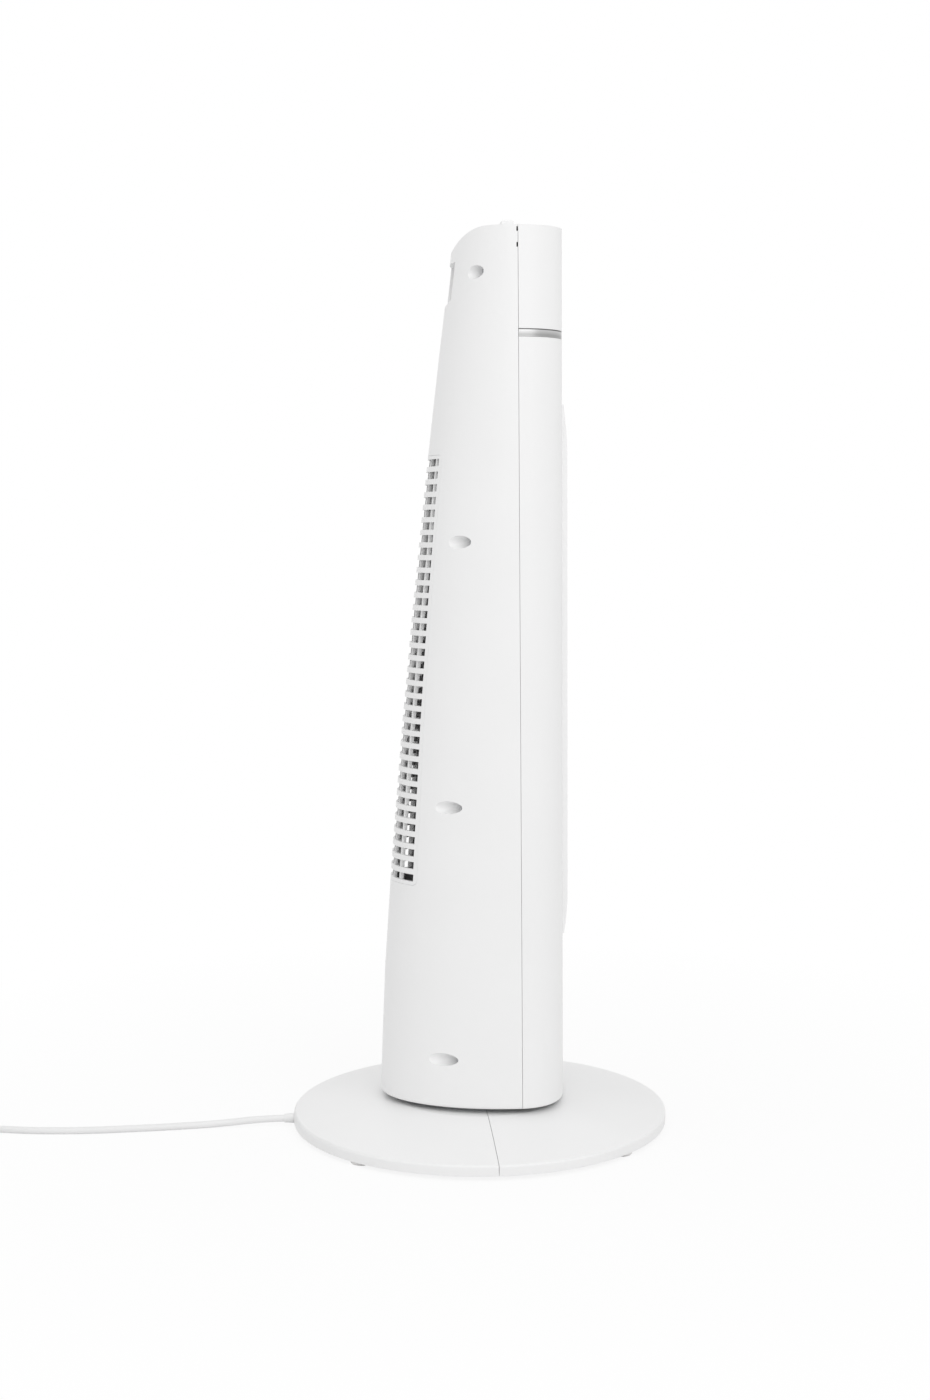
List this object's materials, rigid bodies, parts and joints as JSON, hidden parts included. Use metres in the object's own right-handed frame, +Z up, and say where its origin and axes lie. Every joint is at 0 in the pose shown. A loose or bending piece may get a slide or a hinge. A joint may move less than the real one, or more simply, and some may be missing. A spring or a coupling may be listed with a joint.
{
  "type": "tower fan",
  "caption": "Slim upright tower fan with a tapered rear intake grille, front outlet grille, top push buttons and chrome band, swinging on a round split base.",
  "frame": {"origin": "on the floor under the middle of the round base, at the underside of its feet", "axes": "+Z up along the swing axis, -Y to the front outlet, +Y to the rear intake and the cord"},
  "size_m": [0.306, 0.657, 0.7265],
  "materials": {
    "white_abs": "satin moulded white ABS",
    "chrome_trim": "vacuum-metallised bright trim",
    "rubber_feet": "moulded grey rubber",
    "white_pvc": "smooth white PVC sheath",
    "plated_steel": "zinc-plated steel",
    "plated_brass": "nickel-plated brass",
    "bronze": "sintered bronze",
    "copper_wire": "enamelled copper",
    "lamination": "stacked steel laminations",
    "black_plastic": "moulded black plastic",
    "grey_plastic": "moulded grey plastic",
    "natural_pom": "natural acetal",
    "black_rubber": "moulded black rubber"
  },
  "bodies": {
    "base": {"base_front_half": "white_abs", "base_rear_half": "white_abs", "base_feet": "rubber_feet", "base_screws": "plated_steel", "pivot_post": "grey_plastic", "glide_ring": "natural_pom", "swing_gear": "natural_pom", "post_cap": "plated_steel", "cap_screws": "plated_steel", "strain_relief": "white_pvc", "power_cord": "white_pvc", "cord_coil": "white_pvc", "cord_tie": "black_plastic", "plug_body": "white_pvc", "plug_pins": "plated_brass"},
    "tower": {"swivel_plate": "grey_plastic", "plate_screws": "plated_steel", "swing_motor": "plated_steel", "swing_motor_screws": "plated_steel", "rear_cover": "white_abs", "intake_grille": "white_abs", "front_cover": "white_abs", "front_grille": "white_abs", "trim_band": "chrome_trim", "control_fascia": "white_abs", "cover_screws": "plated_steel", "motor_plate": "grey_plastic", "motor_upper_bell": "plated_steel", "motor_lower_bell": "plated_steel", "motor_stator": "lamination", "motor_windings": "copper_wire", "motor_grommets": "black_rubber", "motor_screws": "plated_steel", "volute_guide": "black_plastic", "tongue_guide": "black_plastic", "upper_plate": "grey_plastic", "bearing_rubber": "black_rubber", "bearing_bush": "bronze", "switch_block": "black_plastic", "switch_screws": "plated_steel"},
    "impeller": {"impeller": "black_plastic", "motor_shaft": "plated_steel", "motor_rotor": "lamination"},
    "swing_pinion": {"swing_pinion": "natural_pom"},
    "button_off": {"button_off": "white_abs"},
    "button_low": {"button_low": "white_abs"},
    "button_medium": {"button_medium": "white_abs"},
    "button_high": {"button_high": "white_abs"},
    "button_swing": {"button_swing": "white_abs"}
  },
  "joints": [
    {"name": "swing", "type": "hinge", "parent": "base", "child": "tower", "pos_m": [0, 0, 0.03], "axis": [0, 0, 1], "range_deg": [-35, 35]},
    {"name": "fan_spin", "type": "hinge", "parent": "tower", "child": "impeller", "pos_m": [0, -0.01, 0.16], "axis": [0, 0, 1], "continuous": true},
    {"name": "pinion_spin", "type": "hinge", "parent": "tower", "child": "swing_pinion", "pos_m": [0, 0.045, 0.04], "axis": [0, 0, 1], "range_deg": [-106, 106]},
    {"name": "button_off_press", "type": "slide", "parent": "tower", "child": "button_off", "axis": [0, 0, -1], "range_m": [0, 0.003], "stiffness_N_per_m": 400},
    {"name": "button_low_press", "type": "slide", "parent": "tower", "child": "button_low", "axis": [0, 0, -1], "range_m": [0, 0.003], "stiffness_N_per_m": 400},
    {"name": "button_medium_press", "type": "slide", "parent": "tower", "child": "button_medium", "axis": [0, 0, -1], "range_m": [0, 0.003], "stiffness_N_per_m": 400},
    {"name": "button_high_press", "type": "slide", "parent": "tower", "child": "button_high", "axis": [0, 0, -1], "range_m": [0, 0.003], "stiffness_N_per_m": 400},
    {"name": "button_swing_press", "type": "slide", "parent": "tower", "child": "button_swing", "axis": [0, 0, -1], "range_m": [0, 0.003], "stiffness_N_per_m": 400}
  ],
  "couplings": [
    {"joint": "pinion_spin", "follows": "swing", "ratio": 3}
  ]
}
